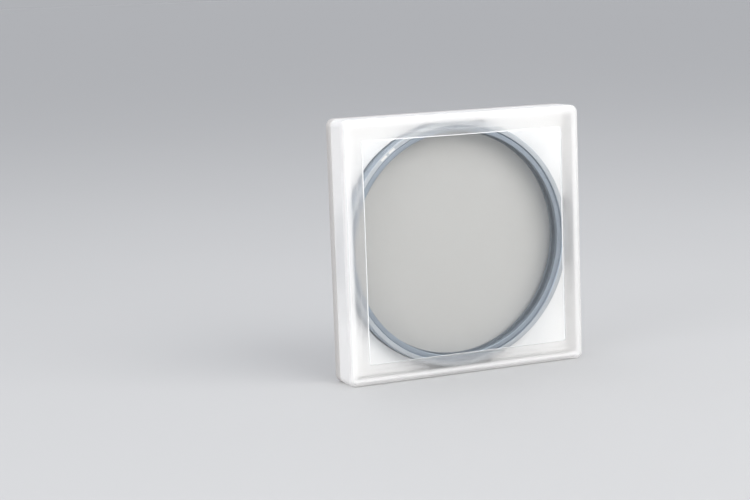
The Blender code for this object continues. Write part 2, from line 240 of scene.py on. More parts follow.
def pale_world():
    """A pale world that lights the scene, and that looks no brighter than the floor's far end."""
    world = bpy.data.worlds.new("studio")
    world.use_nodes = True
    tree = world.node_tree
    tree.nodes.clear()
    colour = (0.93, 0.95, 1.0, 1)
    lights = node(tree, "ShaderNodeBackground", {"Color": colour, "Strength": WORLD_STRENGTH})
    seen = node(tree, "ShaderNodeBackground", {"Color": colour, "Strength": SEEN_STRENGTH})
    path = node(tree, "ShaderNodeLightPath")
    shares = {0: path.outputs["Is Camera Ray"], 1: lights.outputs[0], 2: seen.outputs[0]}
    mixed = node(tree, "ShaderNodeMixShader", shares)
    node(tree, "ShaderNodeOutputWorld", {"Surface": mixed.outputs[0]})
    return world


bpy.context.scene.world = pale_world()

centre = (MIDDLE_X, 0, MIDDLE_Z)
area_lamp("key", (0.42, -0.85, 0.62), centre, (1.1, 0.8), 8.0, (1.0, 0.99, 0.97))
area_lamp("fill", (-0.9, -0.35, 0.35), centre, (0.6, 0.8), 3.2, (0.97, 0.98, 1.0))
area_lamp("top", (-0.1, 0.15, 0.9), centre, (0.6, 0.5), 1.5)
bpy.context.scene.view_settings.view_transform = "Standard"
bpy.context.scene.cycles.transparent_max_bounces = 32
bpy.context.scene.cycles.transmission_bounces = 12

# %% [markdown]
# ## Milky polypropylene
# The case is moulded in polypropylene with no dye. It is white because it scatters light, and it is
# still see-through at short range: the ring shows as a soft blue shade where it lies close behind the
# frame. That is a share of white diffuse surface and a share of rough glass. The mould was
# spark-eroded on the face, which prints a fine matt grain, and polished on the edges and walls. Two
# attributes tell the places apart. One is polish, which is 0 on the grained face and 1 elsewhere. The
# other is thin, which is 1 on the flat frame round the window, where least plastic lies in the line of
# sight, and 0 on the deep walls, and it fades between the two over about a millimetre.

# %% The case's plastic


def milky_plastic(name, colour, through_wall, through_frame):
    material, tree = new_material(name)
    where = place(tree)
    polish = node(tree, "ShaderNodeAttribute", attribute_name="polish").outputs["Fac"]
    thin = node(tree, "ShaderNodeAttribute", attribute_name="thin").outputs["Fac"]
    grain = noise(tree, where, 5200.0, 4.0, 0.6)
    cloud = noise(tree, where, 55.0, 3.0)
    matt = spread(tree, grain, 0.32, 0.38)
    bright = spread(tree, cloud, 0.22, 0.28)
    rough = node(tree, "ShaderNodeMix", {0: polish, 2: matt, 3: bright}, data_type="FLOAT").outputs[0]
    coarse = spread(tree, polish, 1.0, 0.15)
    height = node(tree, "ShaderNodeMath", {0: grain, 1: coarse}, operation="MULTIPLY").outputs[0]
    shader = node(
        tree,
        "ShaderNodeBsdfPrincipled",
        {
            "Base Color": between(tree, cloud, tuple(0.975 * value for value in colour), colour),
            "Roughness": rough,
            "Normal": bump(tree, height, 0.003 * MM, 0.15),
            "Transmission Weight": spread(tree, thin, through_wall, through_frame),
            "IOR": 1.49,
        },
    )
    finish_material(tree, lamps_pass(tree, shader.outputs[0], 0.88))
    return material


case_plastic = milky_plastic("case_plastic", (0.95, 0.945, 0.94), 0.45, 0.94)
# The tray's copy is the same plastic made greyer and warmer: painted shade for its sides in shadow.
tray_plastic_painted_shade = milky_plastic("tray_plastic_painted_shade", (0.70, 0.675, 0.655), 0.35, 0.35)
print("made", case_plastic.name)

# %% [markdown]
# ## Clear plastic and coated glass
# A clear pane shows two things at once: what lies behind it, and a faint mirror of the room that grows
# stronger at a glancing angle. Mixing a Transparent and a Glossy shader by a Fresnel value says just
# that, and lets lamps through without noise. Both faces tint what they pass, so each holds the square
# root of the whole tint. Fingers and foam leave faint smears, which only show in the reflection.

# %% The pane, glass and films


def mirror_share(tree, ior):
    """How much a face reflects: f0 square on, rising with the fifth power of the slant to 1 at grazing.

    f0 is ((n - 1) / (n + 1)) squared. It is the same from both sides of a face, which a thin sheet needs.
    """
    straight = ((ior - 1) / (ior + 1)) ** 2
    slant = node(tree, "ShaderNodeLayerWeight", {"Blend": 0.5}).outputs["Facing"]
    power = node(tree, "ShaderNodeMath", {0: slant, 1: 5.0}, operation="POWER").outputs[0]
    return spread(tree, power, straight, 1.0)


def clear_sheet(name, tint, mirror, roughness, ior, smear):
    """A see-through sheet. Tint is what passes each face, mirror colours the reflection."""
    material, tree = new_material(name)
    where = place(tree, (1.0, 1.0, 0.35))
    wipe = noise(tree, where, 90.0, 5.0, 0.62)
    clear = node(tree, "ShaderNodeBsdfTransparent", {"Color": (*tint, 1)})
    gloss = node(
        tree,
        "ShaderNodeBsdfGlossy",
        {"Color": (*mirror, 1), "Roughness": spread(tree, wipe, roughness, roughness + smear)},
    )
    mixed = node(
        tree, "ShaderNodeMixShader", {0: mirror_share(tree, ior), 1: clear.outputs[0], 2: gloss.outputs[0]}
    )
    finish_material(tree, lamps_pass(tree, mixed.outputs[0], 0.985))
    return material


window_plastic = clear_sheet("window_plastic", (0.99, 0.992, 0.992), (1.0, 1.0, 1.0), 0.02, 1.45, 0.06)
coated_glass = clear_sheet("coated_glass", (0.992, 0.994, 0.988), (0.70, 0.80, 0.84), 0.01, 1.22, 0.02)
grey_film = clear_sheet("grey_film", (0.900, 0.890, 0.900), (0.5, 0.5, 0.5), 0.05, 1.08, 0.02)
clear_film = clear_sheet("clear_film", (0.99, 0.99, 0.98), (0.5, 0.5, 0.5), 0.05, 1.08, 0.02)

# %% [markdown]
# The pane's cut edge isn't clear. Light that enters its polished face runs along inside it and comes
# out at the rim, so the rim shines as a thin white line. A bright, slightly rough white with a faint
# glow paints that light on.

# %% The pane's rim


def painted_glow_rim():
    material, tree = new_material("pane_rim_glow")
    where = place(tree)
    grain = noise(tree, where, 2600.0)
    shader = node(
        tree,
        "ShaderNodeBsdfPrincipled",
        {
            "Base Color": between(tree, grain, (0.93, 0.94, 0.95), (1.0, 1.0, 1.0)),
            "Roughness": spread(tree, grain, 0.18, 0.32),
            # The white and this faint glow are painted light: the rim is no lamp.
            "Emission Color": (1.0, 1.0, 1.0, 1.0),
            "Emission Strength": 0.12,
        },
    )
    finish_material(tree, shader.outputs[0])
    return material


pane_rim_glow = painted_glow_rim()

# %% [markdown]
# ## Anodised aluminium
# The rings are turned on a lathe and then anodised. The tool leaves a very fine spiral, which is a
# ripple that depends only on the distance from the filter's axis and on the depth. The dye takes a
# little unevenly, which is a slow noise in the colour. The bath leaves a satin, not a mirror.

# %% The rings' metal
AXIS = (FILTER_X, 0.0, FILTER_Z)


def turned_metal(name, colour, roughness, pitch):
    material, tree = new_material(name)
    where = node(tree, "ShaderNodeTexCoord").outputs["Object"]
    centred = node(tree, "ShaderNodeVectorMath", {0: where, 1: AXIS}, operation="SUBTRACT").outputs[0]
    parts = node(tree, "ShaderNodeSeparateXYZ", {0: centred})
    flat = node(tree, "ShaderNodeCombineXYZ", {0: parts.outputs[0], 2: parts.outputs[2]}).outputs[0]
    radius = node(tree, "ShaderNodeVectorMath", {0: flat}, operation="LENGTH").outputs["Value"]
    along = node(tree, "ShaderNodeMath", {0: radius, 1: parts.outputs[1]}, operation="ADD").outputs[0]
    turns = node(tree, "ShaderNodeMath", {0: along, 1: math.tau / pitch}, operation="MULTIPLY").outputs[0]
    ripple = node(tree, "ShaderNodeMath", {0: turns}, operation="SINE").outputs[0]
    dye = noise(tree, where, 140.0, 4.0)
    speck = noise(tree, where, 6000.0, 2.0)
    shader = node(
        tree,
        "ShaderNodeBsdfPrincipled",
        {
            "Base Color": between(tree, dye, tuple(c * 0.86 for c in colour), tuple(c * 1.1 for c in colour)),
            "Metallic": 0.85,
            "Roughness": spread(tree, speck, roughness - 0.06, roughness + 0.08),
            "Normal": bump(tree, ripple, 0.002 * MM, 0.35),
        },
    )
    finish_material(tree, shader.outputs[0])
    return material


ring_metal = turned_metal("ring_metal", (0.40, 0.46, 0.53), 0.36, 0.12 * MM)
# A lighter copy of the same metal, on the flat front rim, is painted light where the rim faces the lamps.
rim_metal_painted_light = turned_metal("rim_metal_painted_light", (0.52, 0.55, 0.58), 0.42, 0.12 * MM)
# A darker copy of the same metal, on the bore and the retaining ring, is painted shade inside the ring.
inner_metal_painted_shade = turned_metal("inner_metal_painted_shade", (0.31, 0.355, 0.41), 0.42, 0.09 * MM)


def white_paint():
    """Screen-printed paint, thin and a little uneven."""
    material, tree = new_material("mark_paint")
    grain = noise(tree, place(tree), 3000.0)
    shader = node(
        tree,
        "ShaderNodeBsdfPrincipled",
        {
            "Base Color": between(tree, grain, (0.97, 0.94, 0.90), (1.0, 0.97, 0.93)),
            "Roughness": spread(tree, grain, 0.5, 0.65),
        },
    )
    finish_material(tree, shader.outputs[0])
    return material


mark_paint = white_paint()


def plain_steel():
    """Drawn wire: a bright metal with fine lines along the hinge's axis."""
    material, tree = new_material("pin_steel")
    lines = noise(tree, place(tree, (1.0, 1.0, 0.03)), 9000.0, 2.0)
    shader = node(
        tree,
        "ShaderNodeBsdfPrincipled",
        {
            "Base Color": between(tree, lines, (0.52, 0.53, 0.54), (0.66, 0.66, 0.67)),
            "Metallic": 1.0,
            "Roughness": spread(tree, lines, 0.22, 0.36),
            "Normal": bump(tree, lines, 0.004 * MM, 0.4),
        },
    )
    finish_material(tree, shader.outputs[0])
    return material


steel = plain_steel()

# %% [markdown]
# ## White foam
# Closed-cell foam is a mass of bubbles about a third of a millimetre across with thin white walls.
# Cut through, each bubble is a tiny cup. A Voronoi pattern gives the cells: its distance to the nearest
# centre is the cup's depth, and a slow noise keeps the white from being one flat value.

# %% The pads' foam


def cell_foam():
    material, tree = new_material("white_foam")
    where = place(tree)
    cells = node(tree, "ShaderNodeTexVoronoi", {"Vector": where, "Scale": 2600.0}).outputs["Distance"]
    cloud = noise(tree, where, 300.0, 4.0)
    shader = node(
        tree,
        "ShaderNodeBsdfPrincipled",
        {
            "Base Color": between(tree, cloud, (0.87, 0.87, 0.865), (0.91, 0.91, 0.905)),
            "Roughness": spread(tree, cells, 0.95, 0.8),
            "Normal": bump(tree, cells, 0.02 * MM, 0.04),
        },
    )
    finish_material(tree, shader.outputs[0])
    return material


foam = cell_foam()
print("materials:", len(bpy.data.materials))

# %% [markdown]
# ## One mesh helper for every surface
# Every surface below is a grid of points that closes on itself in one direction, such as round the
# case or round the ring. In the other direction it either closes too, which makes a frame or a ring, or
# stops, and then flat caps close it. The faces are the same index arithmetic each time, and the sign of
# the volume says if they face out.

# %% From a grid of points to a mesh


def surface(name, grid, ends="join", materials=(), sharp_deg=35, weighted=True, **values):
    """A closed mesh from points of shape (round, along, 3). Ends join each other or are capped.

    Any further value, one for each point along or one for all, becomes a named attribute.
    """
    rounds, along = grid.shape[:2]
    index = np.arange(rounds * along).reshape(rounds, along)
    over = np.roll(index, -1, axis=0)
    if ends == "join":
        quads = np.stack([index, over, np.roll(over, -1, axis=1), np.roll(index, -1, axis=1)], axis=-1)
    else:
        quads = np.stack([index[:, :-1], over[:, :-1], over[:, 1:], index[:, 1:]], axis=-1)
    faces = quads.reshape(-1, 4).tolist()
    if ends == "cap":
        faces += [index[::-1, 0].tolist(), index[:, -1].tolist()]
    mesh = bpy.data.meshes.new(name)
    mesh.from_pydata(grid.reshape(-1, 3).tolist(), [], faces)
    check = bmesh.new()
    check.from_mesh(mesh)
    if check.calc_volume(signed=True) < 0:
        mesh.flip_normals()
    check.free()
    for key, value in values.items():
        layer = mesh.attributes.new(key, "FLOAT", "POINT")
        layer.data.foreach_set("value", np.broadcast_to(value, (rounds, along)).astype(np.float32).ravel())
    for material in materials:
        mesh.materials.append(material)
    mesh.shade_smooth()
    mesh.set_sharp_from_angle(angle=math.radians(sharp_deg))
    obj = bpy.data.objects.new(name, mesh)
    bpy.context.scene.collection.objects.link(obj)
    if weighted:
        modifier = obj.modifiers.new("even_normals", "WEIGHTED_NORMAL")
        modifier.keep_sharp = True
    return obj


def dress(piece, body, slot, *nodes):
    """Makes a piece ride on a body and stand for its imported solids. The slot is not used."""
    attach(piece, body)
    if nodes:
        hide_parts(*nodes)
    return piece


# %% [markdown]
# ## Rounded outlines
# A moulded part has no knife edge: each corner of its section is a small arc. This turns a list of
# corners, each with its own radius, into the finished outline. An arc that touches both sides of a
# corner starts at radius / tan(half the corner's angle) from it, and its middle lies on the line that
# halves the angle. Where a radius is 0 the corner stays as it is.

# %% Outlines with filleted corners


def filleted(corners, steps=5):
    """Rounds a closed outline of (across, along, radius) corners. Returns an array of (across, along)."""
    corners = np.array(corners, float)
    here, radius = corners[:, :2], corners[:, 2]
    before = np.roll(here, 1, axis=0) - here
    after = np.roll(here, -1, axis=0) - here
    before /= np.linalg.norm(before, axis=1)[:, None]
    after /= np.linalg.norm(after, axis=1)[:, None]
    half = np.arccos(np.clip((before * after).sum(1), -1, 1)) / 2
    touch = (radius / np.tan(half))[:, None]
    inwards = before + after
    inwards /= np.linalg.norm(inwards, axis=1)[:, None]
    centre = here + inwards * (radius / np.sin(half))[:, None]
    first = here + before * touch - centre
    last = here + after * touch - centre
    sweep = np.pi - 2 * half
    share = np.linspace(0, 1, steps)[None, :, None]
    turn = np.where(np.abs(np.sin(sweep)) < 1e-9, 1, np.sin(sweep))[:, None, None]
    angle = sweep[:, None, None]
    arcs = (np.sin((1 - share) * angle) * first[:, None] + np.sin(share * angle) * last[:, None]) / turn
    points = (centre[:, None] + arcs).reshape(-1, 2)
    repeated = np.linalg.norm(points - np.roll(points, 1, axis=0), axis=1) < 1e-9
    return points[~repeated]


def densified(outline, longest):
    """Adds evenly spaced points along each side of a closed outline that is longer than a length."""
    ends = np.roll(outline, -1, axis=0)
    counts = np.maximum(1, np.ceil(np.linalg.norm(ends - outline, axis=1) / longest)).astype(int)
    side = np.repeat(np.arange(len(outline)), counts)
    first = np.concatenate([[0], np.cumsum(counts)[:-1]])
    share = (np.arange(len(side)) - first[side]) / counts[side]
    return outline[side] + (ends[side] - outline[side]) * share[:, None]


CORNER_R = 2.6 * MM
PATH_STEPS = 14


def square_grid(outline, corner=CORNER_R, least=0.9 * MM, steps=PATH_STEPS):
    """Carries an outline of (inset, y) round the case.

    At an inset d from the outside the path is a square of half width HALF - d, and its corner radius
    is corner - d, but never under a least value.
    """
    inset, y = outline[:, 0], outline[:, 1]
    half = HALF - inset
    radius = np.minimum(np.maximum(corner - inset, least), half)
    quarter = np.linspace(0, np.pi / 2, steps)
    angle = (np.arange(4)[:, None] * np.pi / 2 + quarter[None]).ravel()[:, None]
    middle = (np.arange(4) * np.pi / 2 + np.pi / 4).repeat(steps)[:, None]
    x = np.sign(np.cos(middle)) * (half - radius) + radius * np.cos(angle)
    z = np.sign(np.sin(middle)) * (half - radius) + radius * np.sin(angle)
    return np.stack([MIDDLE_X + x, np.broadcast_to(y, x.shape), MIDDLE_Z + z], axis=-1)


# %% [markdown]
# ## The lid
# The lid is a picture frame with deep sides. Its section is one outline: the face, the large rounded
# edge, the side wall, the rim at the parting line, the inside of the wall and the step that the pane is
# bonded into. Carrying it once round the case makes the whole lid in one closed skin. The rounded edge
# has a fine flat in its middle, which is the double bright line that such a case shows.

# %% The lid's frame
WALL = 1.3 * MM
BEVEL = 1.4 * MM
FACE_WALL = 1.2 * MM
REBATE = 0.6 * MM
MILKY_INSET, MILKY_FADE = 2.1 * MM, 1.2 * MM  # where the frame turns from milky to nearly clear
pane_half = (pane_high.x - pane_low.x) / 2
LIP_WALL = 0.5 * MM
LID_EDGE_Y = PARTING_Y - GAP / 2
TRAY_EDGE_Y = PARTING_Y + GAP / 2
LIP_END_Y = TRAY_EDGE_Y - 1.0 * MM - GAP
WINDOW_INSET = BEVEL + 5.8 * MM
REBATE_INSET = HALF - pane_half - GAP

lid_corners = filleted(
    [
        (WINDOW_INSET, FACE_Y, 0.12 * MM),
        (BEVEL, FACE_Y, 0.25 * MM),
        (0.35 * BEVEL, FACE_Y + 0.35 * BEVEL, 0.5 * MM),
        (0, FACE_Y + BEVEL, 0.35 * MM),
        (0, LID_EDGE_Y, 0.35 * MM),
        (LIP_WALL, LID_EDGE_Y, 0.12 * MM),
        (LIP_WALL, LIP_END_Y, 0.1 * MM),
        (WALL, LIP_END_Y, 0.15 * MM),
        (WALL, FACE_Y + FACE_WALL, 0.5 * MM),
        (REBATE_INSET, FACE_Y + FACE_WALL, 0.12 * MM),
        (REBATE_INSET, FACE_Y + FACE_WALL - REBATE, 0),
        (WINDOW_INSET, FACE_Y + FACE_WALL - REBATE, 0.05 * MM),
    ]
)
lid_outline = densified(lid_corners, 0.4 * MM)
on_face = (lid_outline[:, 0] > BEVEL * 0.9) & (lid_outline[:, 1] < FACE_Y + 0.2 * MM)
on_frame = np.clip((lid_outline[:, 0] - MILKY_INSET) / MILKY_FADE, 0, 1)
lid = surface(
    "case_lid_shell", square_grid(lid_outline), "join", [case_plastic], polish=1.0 - on_face, thin=on_frame
)
print("lid:", len(lid.data.polygons), "faces")

# %% [markdown]
# ## The pane
# The pane is a stepped plate: a boss that fills the window and a thinner flange behind the frame. All of
# it is clear but the boss's side, which is the bright rim of painted light, so only the faces there take
# the second material. The flange's side stays clear, because it would shine through the frame as a second
# line.

# %% The lid's window
PANE_FRONT = FACE_Y
pane_back = pane_high.y
STEP_Y = pane_back - 0.5 * MM
BOSS_INSET = WINDOW_INSET + 0.16 * MM
FLANGE_INSET = REBATE_INSET + 0.15 * MM
pane_outline = filleted(
    [
        (BOSS_INSET + 4 * MM, PANE_FRONT, 0),
        (BOSS_INSET, PANE_FRONT, 0.18 * MM),
        (BOSS_INSET, STEP_Y, 0),
        (FLANGE_INSET, STEP_Y, 0.05 * MM),
        (FLANGE_INSET, pane_back, 0.12 * MM),
        (FLANGE_INSET + 4 * MM, pane_back, 0),
    ]
)
window = surface("lid_window_pane", square_grid(pane_outline), "cap", [window_plastic, pane_rim_glow])


def face_vectors(piece):
    """The middle and the normal of every face, as two arrays."""
    mesh = piece.data
    middle, normal = np.empty(len(mesh.polygons) * 3), np.empty(len(mesh.polygons) * 3)
    mesh.polygons.foreach_get("center", middle)
    mesh.polygons.foreach_get("normal", normal)
    return middle.reshape(-1, 3), normal.reshape(-1, 3)


def from_middle(middles):
    """How far out each face lies, as the half width of the square it would be on."""
    return np.maximum(np.abs(middles[:, 0] - MIDDLE_X), np.abs(middles[:, 2] - MIDDLE_Z))


middles, normals = face_vectors(window)
away = from_middle(middles)
on_edge = (away > HALF - BOSS_INSET - 0.5 * MM) & (middles[:, 1] < STEP_Y) & (np.abs(normals[:, 1]) < 0.9)
# These faces take the glowing white, the painted light of the rim.
window.data.polygons.foreach_set("material_index", on_edge.astype(np.int32))
print("rim faces:", int(on_edge.sum()))

# %% [markdown]
# ## The tray
# The back half is a shallow tray. Its rim is stepped: the outer half of the wall meets the lid at the
# parting line, and the inner half stands up as a thin tongue inside the lid's lip and guides it shut.
# Outside it takes a greyer, warmer copy of the same plastic, which is painted shade, and inside the
# whiter one, because light that bounces between the walls and the foam brightens it.

# %% The tray
TONGUE_OUTER = LIP_WALL + GAP
TONGUE_WALL = WALL - TONGUE_OUTER
TONGUE_TOP = TRAY_EDGE_Y - 1.0 * MM
FLOOR_Y = BACK_Y - 1.2 * MM
tray_outline = filleted(
    [
        (0.8 * MM + 4 * MM, BACK_Y, 0),
        (0.8 * MM, BACK_Y, 0.4 * MM),
        (0, BACK_Y - 0.8 * MM, 0.4 * MM),
        (0, TRAY_EDGE_Y, 0.45 * MM),
        (TONGUE_OUTER, TRAY_EDGE_Y, 0.08 * MM),
        (TONGUE_OUTER, TONGUE_TOP, 0.2 * MM),
        (TONGUE_OUTER + TONGUE_WALL, TONGUE_TOP, 0.2 * MM),
        (TONGUE_OUTER + TONGUE_WALL, FLOOR_Y, 0.5 * MM),
        (TONGUE_OUTER + TONGUE_WALL + 4 * MM, FLOOR_Y, 0),
    ]
)
tray = surface(
    "case_base_shell", square_grid(tray_outline), "cap", [tray_plastic_painted_shade, case_plastic], polish=1.0, thin=0.0
)
middles, _ = face_vectors(tray)
inside = (from_middle(middles) < HALF - WALL + 0.1 * MM) & (middles[:, 1] < FLOOR_Y + 0.1 * MM)
tray.data.polygons.foreach_set("material_index", inside.astype(np.int32))
print("inside faces of the tray:", int(inside.sum()))

# %% [markdown]
# ## The hinge
# Each knuckle is a barrel round the pin with a web that runs to its wall. Its section is a teardrop: an
# arc of the barrel's radius, and two straight sides back to the wall. Carried along the hinge's axis
# it makes the knuckle. The pin in the middle is a plain rod with slightly domed ends. The knuckles are
# drawn solid, with no bore, so the pin runs through them unseen.

# %% Knuckles and pins
KNUCKLE_R = 2.0 * MM
WEB_NEAR, WEB_FAR = 0.3 * MM, 1.7 * MM
PIN_R = 0.75 * MM
WALL_X = MIDDLE_X + HALF


def teardrop(side, steps=28):
    """The knuckle's (x, y) outline: an arc from the web's far side round to its near side, then the wall."""
    start = math.acos(-math.sqrt(1 - (WEB_FAR / KNUCKLE_R) ** 2))
    finish = -math.pi - math.asin(-WEB_NEAR / KNUCKLE_R)
    angle = np.linspace(start, finish, steps)
    arc = np.stack([HINGE_X + KNUCKLE_R * np.cos(angle), KNUCKLE_R * np.sin(angle)], axis=-1)
    wall = np.array([(WALL_X - 0.1 * MM, WEB_NEAR), (WALL_X - 0.1 * MM, WEB_FAR)])
    outline = np.concatenate([arc, wall])
    outline[:, 1] = PARTING_Y + side * outline[:, 1]
    return outline


def knuckle(name, side, low, high, plastic):
    """The teardrop carried from one height to the other, with its ends drawn in by a small bevel."""
    outline = teardrop(side)
    edge = 0.15 * MM
    levels = np.array([low, low + edge, high - edge, high])
    shrink = np.array([0.92, 1.0, 1.0, 0.92])
    axis = np.array([HINGE_X, PARTING_Y])
    scaled = axis + (outline[:, None] - axis) * shrink[None, :, None]
    grid = np.concatenate([scaled, np.broadcast_to(levels[None, :, None], (*scaled.shape[:2], 1))], axis=-1)
    return surface(name, grid, "cap", [plastic], polish=1.0, thin=0.0)


def hinge_pin(name, low, high):
    """A rod with domed ends: its radius falls off as a quarter of an ellipse near each end."""
    dome = 0.3 * MM
    rise = np.sin(np.linspace(0, np.pi / 2, 6))
    climb = dome * (1 - np.cos(np.linspace(0, np.pi / 2, 6)))
    levels = np.concatenate([low + climb, high - climb[::-1]])
    radius = PIN_R * np.concatenate([0.15 + 0.85 * rise, (0.15 + 0.85 * rise)[::-1]])
    angle = np.linspace(0, math.tau, 32, endpoint=False)[:, None]
    x = HINGE_X + radius * np.cos(angle)
    y = PARTING_Y + radius * np.sin(angle)
    return surface(name, np.stack([x, y, np.broadcast_to(levels, x.shape)], axis=-1), "cap", [steel])


print("hinge on x =", round(HINGE_X / MM, 2), "mm")
for side_name in ("lower", "upper"):
    pin_low, pin_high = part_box(f"hinge_pin_{side_name}")
    pin = hinge_pin(f"pin_{side_name}", pin_low.z, pin_high.z)
    dress(pin, "tray", "pin_steel", f"hinge_pin_{side_name}")
    middle = (pin_low.z + pin_high.z) / 2
    inner = 3.0 * MM
    spans = {
        "lid": (middle - inner, middle + inner),
        "below": (pin_low.z, middle - inner - GAP),
        "above": (middle + inner + GAP, pin_high.z),
    }
    for place_name, (low, high) in spans.items():
        on_lid = place_name == "lid"
        # The tray's knuckles take the tray's greyer copy of the plastic, painted shade like the tray's
        # outside.
        side, plastic = (-1, case_plastic) if on_lid else (1, tray_plastic_painted_shade)
        made = knuckle(f"knuckle_{side_name}_{place_name}", side, low, high, plastic)
        dress(made, "lid" if on_lid else "tray", "case_milky")

dress(lid, "lid", "case_milky", "case_lid")
dress(window, "lid", "window_clear", "lid_window")
dress(tray, "tray", "case_milky", "case_base")

# %% [markdown]
# ## Turned rings
# A ring is an outline of radius and depth, turned about the filter's axis. A straight ribbed grip is
# the same thing with the radius rippled by the angle, and a thread is a ripple by both: its phase is the
# depth over the pitch minus the share of a turn, which is what makes it a helix.

# %% Turning an outline


def ring_grid(radius, depth, steps):
    """Points (x, y, z) of an outline turned about the filter's axis, from its radii and depths."""
    angle = np.linspace(0, math.tau, steps, endpoint=False)[:, None]
    x = FILTER_X + radius * np.sin(angle)
    z = FILTER_Z + radius * np.cos(angle)
    y = np.broadcast_to(FILTER_Y + depth, x.shape)
    return np.stack([x, y, z], axis=-1)


RIBS = 120
RIB_STEPS = 6
RIB_DEPTH = 0.18 * MM
PITCH = 0.75 * MM


def ribbed(radius, depth, outer, start, end, angle):
    """Radii with straight ribs cut into the outer band between two depths, fading in over a short run."""
    run = 0.25 * MM
    inside = np.clip((depth - start) / run, 0, 1) * np.clip((end - depth) / run, 0, 1)
    on_rim = radius > outer - 0.05 * MM
    wave = (1 - np.abs(np.cos(angle * RIBS / 2))) ** 2
    return radius - RIB_DEPTH * inside * on_rim * wave


def threaded(radius, depth, at, height, start, end, angle):
    """Radii with a helical ripple of the lens pitch, on the wall near one radius between two depths."""
    run = 0.2 * MM
    inside = np.clip((depth - start) / run, 0, 1) * np.clip((end - depth) / run, 0, 1)
    on_wall = np.abs(radius - at) < 0.12 * MM
    phase = depth / PITCH - angle / math.tau
    tooth = np.abs((phase % 1.0) * 2 - 1)
    return radius + height * inside * on_wall * tooth


# %% [markdown]
# ## The turning ring
# The front ring is what the fingers turn. Outside it has the ribbed grip, inside it has the thread for
# a cap or a hood, and behind that the seat for the glass. The rim between the two is a flat annulus,
# coloured lighter than the rest of the ring as painted light where it faces the lamps.

# %% The front ring
THREAD_R = RING_R - 2.0 * MM
BORE_R = THREAD_R - 0.3 * MM
THREAD_LEAD = 0.45 * MM
SEAT_R = THREAD_R - 1.1 * MM
LEDGE_R = SEAT_R - 0.9 * MM
GRIP = 3.0 * MM
SKIRT_END = ring_high.y - ring_low.y
glass_low, glass_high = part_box("front_glass")
GLASS_TOP = glass_low.y - FILTER_Y

front_outline = densified(
    filleted(
        [
            (RING_R, 0, 0.35 * MM),
            (RING_R, GRIP, 0.2 * MM),
            (THREAD_R, GRIP, 0.05 * MM),
            (THREAD_R, SKIRT_END, 0.1 * MM),
            (LEDGE_R, SKIRT_END, 0.1 * MM),
            (LEDGE_R, SKIRT_END - 0.5 * MM, 0.05 * MM),
            (SEAT_R, SKIRT_END - 0.5 * MM, 0.05 * MM),
            (SEAT_R, GLASS_TOP, 0.05 * MM),
            (THREAD_R, GLASS_TOP, 0.05 * MM),
            (THREAD_R, THREAD_LEAD, 0.05 * MM),
            (THREAD_R + 0.3 * MM, 0, 0.08 * MM),
        ],
        4,
    ),
    0.18 * MM,
)
RING_STEPS = RIBS * RIB_STEPS
RIBS_START, RIBS_END = 0.55 * MM, GRIP - 0.25 * MM
FEMALE_THREAD, MALE_THREAD = 0.2 * MM, 0.25 * MM  # how far each thread stands out of its wall
turn_angle = np.linspace(0, math.tau, RING_STEPS, endpoint=False)[:, None]
front_depth = front_outline[:, 1]
front_r = ribbed(front_outline[:, 0], front_depth, RING_R, RIBS_START, RIBS_END, turn_angle)
front_r = threaded(
    front_r, front_depth, THREAD_R, -FEMALE_THREAD, THREAD_LEAD, GLASS_TOP - 0.1 * MM, turn_angle
)
front_ring = surface(
    "turning_ring",
    ring_grid(front_r, front_depth, RING_STEPS),
    "join",
    [ring_metal, rim_metal_painted_light, inner_metal_painted_shade],
    weighted=False,
)
middles, normals = face_vectors(front_ring)
# The flat front rim takes the lighter copy of the metal, painted light.
on_rim = (middles[:, 1] < FILTER_Y + 0.1 * MM) & (normals[:, 1] < -0.8)
from_axis = np.hypot(middles[:, 0] - FILTER_X, middles[:, 2] - FILTER_Z)
# The bore takes the darker copy of the metal, painted shade inside the ring.
in_bore = (from_axis < THREAD_R + 0.2 * MM) & ~on_rim
front_ring.data.polygons.foreach_set("material_index", (on_rim + 2 * in_bore).astype(np.int32))
dress(front_ring, "polariser", "ring_anodised", "front_ring")
print("front ring:", len(front_ring.data.polygons), "faces")

# %% [markdown]
# A filter carries small marks on its front rim, which help to find a setting again. Here they are a
# row of short plain strokes. Each is a thin curved box that lies on the rim: four corners in radius and
# angle, and a height of a few hundredths of a millimetre.

# %% Marks on the rim
MARK_HEIGHT = 0.02 * MM
MARK_INNER, MARK_OUTER = RING_R - 1.35 * MM, RING_R - 0.6 * MM
mark_angles = np.radians(np.concatenate([np.linspace(-42.3, -39.3, 6), np.linspace(-37.2, -34.2, 6)]))
MARK_HALF = math.radians(0.2)


def rim_marks(angles):
    """Boxes on the rim, from corners (inner or outer radius, either side of an angle, front or back)."""
    radius = np.array([MARK_INNER, MARK_OUTER, MARK_OUTER, MARK_INNER] * 2)
    aside = np.array([-MARK_HALF, -MARK_HALF, MARK_HALF, MARK_HALF] * 2)
    depth = np.array([-MARK_HEIGHT] * 4 + [MARK_HEIGHT] * 4)
    turn = angles[:, None] + aside
    x = FILTER_X + radius * np.sin(turn)
    z = FILTER_Z + radius * np.cos(turn)
    points = np.stack([x, np.broadcast_to(FILTER_Y + depth, x.shape), z], axis=-1)
    one = np.array([(0, 3, 2, 1), (4, 5, 6, 7), (0, 1, 5, 4), (1, 2, 6, 5), (2, 3, 7, 6), (3, 0, 4, 7)])
    faces = (one[None] + 8 * np.arange(len(angles))[:, None, None]).reshape(-1, 4)
    mesh = bpy.data.meshes.new("rim_marks")
    mesh.from_pydata(points.reshape(-1, 3).tolist(), [], faces.tolist())
    check = bmesh.new()
    check.from_mesh(mesh)
    bmesh.ops.recalc_face_normals(check, faces=check.faces)
    check.to_mesh(mesh)
    check.free()
    made = bpy.data.objects.new("rim_marks", mesh)
    bpy.context.scene.collection.objects.link(made)
    return made


